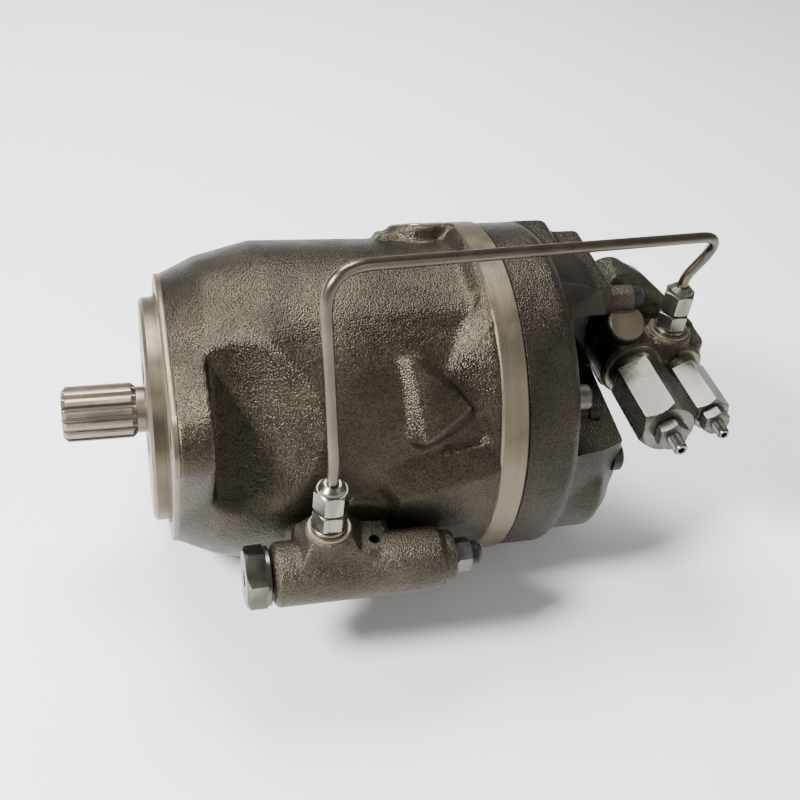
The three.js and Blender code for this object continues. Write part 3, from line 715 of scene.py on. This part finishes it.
def spring_train(name, centre, flat, screw, hollow_radius, chamfer):
    """Spring cap with its turned collar, lock nut and threaded adjusting screw."""
    at = (centre[0], 0, centre[2])
    start, end = span_of(f"{name}_spring_cap", "y")
    body = hexagon(f"{name}_cap", "y", start, end - 7, flat, at, chamfer, (True, False))
    collar = rod("collar", "y", end - 7.5, end, flat / 2 + 0.2, at, 1.0)
    over = screw + 0.4
    neck = lathe("neck", [
        (start + 10, 0), (start + 10, over), (start - 1, over), (start - 1, 0),
    ], "y", at, 40)
    hollow = rod("hollow", "y", start + 8, end + 1, hollow_radius, at, 0)
    combine(body, [collar], "UNION")
    combine(body, [hollow, neck], "DIFFERENCE")
    finish_piece(body, "cap", "case", [f"{name}_spring_cap"], CRISP)
    nut_start, nut_end = span_of(f"{name}_lock_nut", "y")
    nut = hexagon(f"{name}_nut", "y", nut_start, nut_end, screw * 4.1, at, 1.2)
    bore = rod("bore", "y", nut_start - 1, nut_end + 1, screw + 0.3, at, 0)
    combine(nut, [bore], "DIFFERENCE")
    finish_piece(nut, "dark", "case", [f"{name}_lock_nut"], CRISP)
    tip, tail = span_of(f"{name}_adjusting_screw", "y")
    stud = thread(f"{name}_screw", "y", tip, tail, screw, at, 1.0, 0.45)
    combine(stud, [hex_socket("y", tip - 1, tip + 4, screw * 0.55, at)], "DIFFERENCE")
    finish_piece(stud, "zinc", f"{name}_adjusting_screw", [f"{name}_adjusting_screw"], CRISP)


def valve_plugs():
    """Machined boss face, black screw plug and fixing screws of the control valve."""
    spot, look = ROUND_BOSS
    lifted = [a + 0.15 * b for a, b in zip(spot, look)]
    finish_piece(aimed("round_boss_face", lifted, look, 1.2, 10.4, 0.3), "face", "case")
    for i, (y, z) in enumerate(((20, 22), (24, 50))):
        head = socket_screw(f"valve_screw_{i + 1}", (0, y, z), "x", 5.2, 7, 283)
        finish_piece(head, "dark", "case")
    black = lathe("boss_plug", [
        (266.5, 0), (266.5, 6.6), (271.6, 6.6), (272.6, 5.6), (272.6, 3.2), (271, 3), (271, 0),
    ], "x", (0, -8, 64), 48)
    finish_piece(black, "black", "case")


def build_control_valve():
    near = VALVE_NEAR
    seat = UPPER_SEAT
    cuts = [rod("flow_bore", "y", near - 1, 20, 8.3, (FLOW[0], 0, FLOW[2]), 0)]
    cuts.append(rod("pressure_bore", "y", near - 1, 1, 5.8, (PRESSURE[0], 0, PRESSURE[2]), 0))
    cuts.append(rod("port", "z", seat - 8, seat + 2, 6.5, (UPPER[0], UPPER[1], 0), 0))
    body = casting("control_valve_casting", control_valve_forms(), 0.9, 8, cuts)
    finish_piece(body, "valve", "case", ["control_valve_body"])
    for name, centre, radius, inner in (("flow", FLOW, 17.5, 8.5), ("pressure", PRESSURE, 12.5, 6)):
        ring = [(near, inner), (near, radius), (near + 3, radius), (near + 3, inner), (near, inner)]
        face = lathe(f"{name}_seat_face", ring, "y", (centre[0], 0, centre[2]))
        finish_piece(face, "face", "case", ["control_valve_body"])
    ring = [(seat - 2, 6.6), (seat - 0.1, 6.6), (seat - 0.1, 11.5), (seat - 2, 12), (seat - 2, 6.6)]
    face = lathe("upper_port_seat", ring, "z", (UPPER[0], UPPER[1], 0))
    finish_piece(face, "face", "case", ["control_valve_body"])
    spring_train("flow", FLOW, 30, 4, 10, 3.0)
    spring_train("pressure", PRESSURE, 20, 3.5, 7.5, 1.8)
    valve_plugs()


# ---------------------------------------------------------------- power valve and pilot line
def power_valve_forms():
    start, end = span_of("power_valve_body", "x")
    y, z = POWER[1], POWER[2]
    seat = LOWER_SEAT
    forms = [rod("tube_body", "x", start + 1, end - 7, 17, (0, y, z), 2.5)]
    forms.append(rod("end_disc", "x", end - 8, end - 0.5, 14, (0, y, z), 1))
    forms.append(wedge("saddle", [
        (59, -125, z), (113, -125, z), (59, -94.8, z), (113, -94.8, z), (61, -118, -3), (104, -114, -5),
        (60, -95, -2), (108, -95, -6), (92, -120, -3),
    ]))
    forms.append(wedge("port_cone", [
        (60, -122, -8), (92, -122, -8), (60, -95, -4), (94, -95, -4),
        (65, -116, seat - 2), (86, -116, seat - 2), (65, -99, seat - 2), (86, -99, seat - 2),
    ]))
    forms.append(rod("port_boss", "z", -12, seat - 0.8, 12.8, (LOWER[0], LOWER[1], 0), 1.2))
    return forms


def build_power_valve():
    start, end = span_of("power_valve_body", "x")
    y, z = POWER[1], POWER[2]
    seat = LOWER_SEAT
    cuts = [rod("spool_bore", "x", start - 2, end - 14, 9.3, (0, y, z), 0)]
    cuts.append(rod("port", "z", seat - 9, seat + 2, 6.5, (LOWER[0], LOWER[1], 0), 0))
    cuts.append(rod("small_port", "z", -11, 8, 3.0, (99, -110, 0), 0))
    body = casting("power_valve_casting", power_valve_forms(), 0.9, 7, cuts)
    finish_piece(body, "valve", "case", ["power_valve_body"])
    ring = [(seat - 2, 6.6), (seat - 0.1, 6.6), (seat - 0.1, 11), (seat - 2, 11.6), (seat - 2, 6.6)]
    face = lathe("lower_port_seat", ring, "z", (LOWER[0], LOWER[1], 0))
    finish_piece(face, "face", "case", ["power_valve_body"])

    low = span_of("power_valve_plug", "x")[0]
    plug = hexagon("plug_hex", "x", low, low + 10.5, 29, (0, y, z), 2.0, (True, False))
    washer = rod("washer", "x", low + 10, low + 12.7, 15.5, (0, y, z), 0.5)
    cone = [(low - 1, 0), (low - 1, 5), (low + 1.2, 3.6), (low + 1.2, 0)]
    dimple = lathe("dimple", cone, "x", (0, y, z), 48)
    combine(plug, [washer], "UNION")
    combine(plug, [dimple], "DIFFERENCE")
    finish_piece(plug, "cap", "case", ["power_valve_plug"], CRISP)

    high = span_of("power_valve_end_cap", "x")[1]
    nut = hexagon("cap_hex", "x", end + 0.3, end + 9, 16, (0, y, z), 1.0)
    finish_piece(nut, "dark", "case", ["power_valve_end_cap"], CRISP)
    profile = [(end + 8.8, 0), (end + 8.8, 6.5), (high - 2, 6.5), (high, 4.6), (high, 0)]
    cap = lathe("end_cap", profile, "x", (0, y, z), 64)
    finish_piece(cap, "black", "case", ["power_valve_end_cap"])


def build_fitting(side, at):
    base = span_of(f"{side}_stud_fitting", "z")[0] + STUD_DEPTH
    spot = (at[0], at[1], 0)
    washer = rod("washer", "z", base + 0.2, base + 2.4, 9.5, spot, 0.4)
    body = hexagon(f"{side}_fitting", "z", base + 2.4, base + 12.6, 16, spot, 1.0)
    neck = thread("neck", "z", base + 12.4, base + 20, 6, spot, 1.2, 0.5)
    stem = rod("stem", "z", base - 6.8, base + 1, 5.9, spot, 0.5)
    fitting = merged(f"{side}_fitting_body", [body, washer, neck, stem])
    finish_piece(fitting, "zinc", "case", [f"{side}_stud_fitting"], CRISP)
    nut = hexagon(f"{side}_nut", "z", base + 13.6, base + 26.5, 16, spot, 1.2, (True, True))
    profile = [(base + 25.5, 0), (base + 25.5, 7.4), (base + 28, 6.6), (base + 30, 4.4), (base + 30, 0)]
    taper = lathe("taper", profile, "z", spot, 64)
    combine(nut, [taper], "UNION")
    profile = [(base + 13, 0), (base + 13, 6.3), (base + 20.6, 6.3), (base + 23, 3.2)]
    profile += [(base + 31, 3.2), (base + 31, 0)]
    hollow = lathe("hollow", profile, "z", spot, 64)
    combine(nut, [hollow], "DIFFERENCE")
    finish_piece(nut, "zinc", "case", [f"{side}_union_nut"], CRISP)


def arc_corner(before, corner, after, reach, steps=10):
    """Points of a rounded corner that starts reach before it and ends reach after it."""
    start = corner + (before - corner).normalized() * reach
    end = corner + (after - corner).normalized() * reach
    points = []
    for i in range(steps + 1):
        t = i / steps
        points.append(start * (1 - t) ** 2 + corner * 2 * t * (1 - t) + end * t * t)
    return points


def build_tube():
    """The bent steel pilot tube, swept round so that it keeps its diameter in the bends."""
    # Each stop on the way and how far from it the bend begins
    stops = [
        (Vector((LOWER[0], LOWER[1], LOWER_SEAT + 9)), 0),
        (Vector((LOWER[0], LOWER[1], LOWER_SEAT + 41)), 8),
        (Vector(TUBE_CORNERS[0]), 24),
        (Vector(TUBE_CORNERS[1]), 20),
        (Vector((UPPER[0], UPPER[1], UPPER_SEAT + 36)), 5),
        (Vector((UPPER[0], UPPER[1], UPPER_SEAT + 9)), 0),
    ]
    path = [stops[0][0]]
    for i in range(1, len(stops) - 1):
        path += arc_corner(stops[i - 1][0], stops[i][0], stops[i + 1][0], stops[i][1])
    path.append(stops[-1][0])
    curve = bpy.data.curves.new("pilot_tube_curve", "CURVE")
    curve.dimensions = "3D"
    spline = curve.splines.new("POLY")
    spline.points.add(len(path) - 1)
    for point, spot in zip(spline.points, path):
        point.co = (*(spot * MM), 1)
    curve.bevel_depth = TUBE_RADIUS * MM
    curve.bevel_resolution = 8
    curve.use_fill_caps = True
    swept = bpy.data.objects.new("swept", curve)
    bpy.context.scene.collection.objects.link(swept)
    graph = bpy.context.evaluated_depsgraph_get()
    mesh = bpy.data.meshes.new_from_object(swept.evaluated_get(graph))
    bpy.data.objects.remove(swept)
    finish_piece(new_object("pilot_tube_bent", mesh), "tube", "case", ["pilot_tube"], 50)


# ---------------------------------------------------------------- shaft and drain plug
def spline_bar():
    """The splined shaft end, with both ends of its teeth turned down at an angle."""
    start = span_of("drive_shaft", "x")[0]
    # One tooth: share of the pitch and radius, from root over crest to root
    shape = ((0.04, 13.3), (0.14, 13.6), (0.26, 15.5), (0.5, 15.62), (0.74, 15.5), (0.86, 13.6), (0.96, 13.3))
    outline = []
    for tooth in range(SPLINE_TEETH):
        for part, radius in shape:
            angle = 2 * math.pi * (tooth + part) / SPLINE_TEETH
            outline.append((radius * math.cos(angle), radius * math.sin(angle)))
    teeth = prism("shaft_spline", outline, start, -14)
    profile = [(start, 0), (start, 13), (start + 2.6, 15.8), (-17, 15.8), (-14, 13), (-14, 0)]
    return combine(teeth, [lathe("turned_ends", profile)], "INTERSECT")


def build_shaft():
    start, end = span_of("drive_shaft", "x")
    profile = [(-14.2, 0), (-14.2, 12.9), (-9.5, 12.9), (-9, 14), (-8.4, 17), (8.3, 17), (8.3, 20)]
    profile += [(34, 20), (34, 15), (187.8, 15), (187.8, 14), (end - 1, 14), (end, 13), (end, 0)]
    shaft = merged("drive_shaft_turned", [lathe("journals", profile), spline_bar()])
    finish_piece(shaft, "spline", "shaft", ["drive_shaft"], CRISP)
    centre = lathe("shaft_centre", [
        (start - 0.05, 2.6), (start - 0.05, 4.4), (start + 0.4, 4.4), (start + 0.4, 2.6), (start - 0.05, 2.6),
    ])
    finish_piece(centre, "steel", "shaft")


def build_drain_plug():
    """The flush drain plug with its hexagon socket, turned with the case's bosses."""
    top = 97
    body = rod("drain_plug_turned", "z", 84, top, 8.7, (DRAIN_X, 0, 0), 0.8)
    socket = hex_socket("z", top - 6, top + 1, 5.2, (DRAIN_X, 0, 0))
    plug = clocked(combine(body, [socket], "DIFFERENCE"))
    finish_piece(plug, "zinc", "case", ["drain_plug"], CRISP)


def dress_cad_nodes():
    """Gives every CAD node that stays its own worked surface."""
    by_slot = {
        "rubber_seal": "rubber", "black_trim": "black", "dark_fastener": "dark", "zinc_fittings": "zinc",
        "tube_steel": "tube", "shaft_steel": "spline", "bearing_bronze": "bronze", "hardened_steel": "steel",
        "case_cast_iron": "case", "port_plate_cast_iron": "plate", "valve_cast_iron": "valve",
    }
    slots = {part["node"]: part["material_slot"] for part in frame["record"]["subparts"]}
    for name, obj in frame["nodes"].items():
        material = MATERIALS[by_slot[slots[name]]]
        for holder in obj.material_slots:
            holder.material = material


# ---------------------------------------------------------------- studio
def build_studio():
    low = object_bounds()[0]
    pump_middle = Vector((0.13, 0, 0))
    bm = bmesh.new()
    bmesh.ops.create_grid(bm, x_segments=2, y_segments=2, size=4)
    bm.transform(Matrix.Translation((0, 0, low[2] - 0.001)))
    floor = from_bmesh("studio_floor", bm)
    n = Nodes("floor_paint")
    paint = n.ramp(n.noise(3, 2), [(0.3, (0.93, 0.93, 0.93)), (0.7, (0.96, 0.96, 0.96))])
    floor.data.materials.append(n.connect(base_color=paint, roughness=0.7))
    world = bpy.data.worlds.new("studio")
    world.use_nodes = True
    world.node_tree.nodes["Background"].inputs["Color"].default_value = (1.0, 0.985, 0.96, 1)
    world.node_tree.nodes["Background"].inputs["Strength"].default_value = 0.3
    bpy.context.scene.world = world
    # Name, place and size in metres, and power in watts
    lamps = [
        ("key", (-0.75, -0.35, 0.85), 0.25, 42),
        ("top", (0.0, 0.55, 1.2), 0.7, 36),
        ("fill", (0.9, -0.9, 0.5), 0.8, 4),
    ]
    for name, spot, size, power in lamps:
        light = bpy.data.lights.new(name, "AREA")
        light.size = size
        light.energy = power
        lamp = bpy.data.objects.new(name, light)
        bpy.context.scene.collection.objects.link(lamp)
        lamp.location = spot
        lamp.rotation_euler = (pump_middle - Vector(spot)).to_track_quat("-Z", "Y").to_euler()


def place_camera(
    azimuth=-18.05, elevation=40.1, distance=0.674, target=(0.1388, 0, -0.0079), roll=7.5, lens=50.9,
):
    """The photograph's viewpoint: azimuth 0 looks along +Y, roll turns the camera about its view."""
    a, e = math.radians(azimuth), math.radians(elevation)
    back = Vector((math.sin(a) * math.cos(e), -math.cos(a) * math.cos(e), math.sin(e)))
    camera = bpy.data.objects.new("camera", bpy.data.cameras.new("camera"))
    bpy.context.scene.collection.objects.link(camera)
    camera.location = Vector(target) + back * distance
    turn = back.to_track_quat("Z", "Y").to_matrix() @ Matrix.Rotation(math.radians(roll), 3, "Z")
    camera.rotation_euler = turn.to_euler()
    camera.data.lens = lens
    camera.data.sensor_width = 36
    camera.data.clip_start = 0.01
    bpy.context.scene.camera = camera


build_control_valve()
build_power_valve()
build_fitting("lower", LOWER)
build_fitting("upper", UPPER)
build_tube()
build_shaft()
build_drain_plug()
dress_cad_nodes()
build_studio()
place_camera()
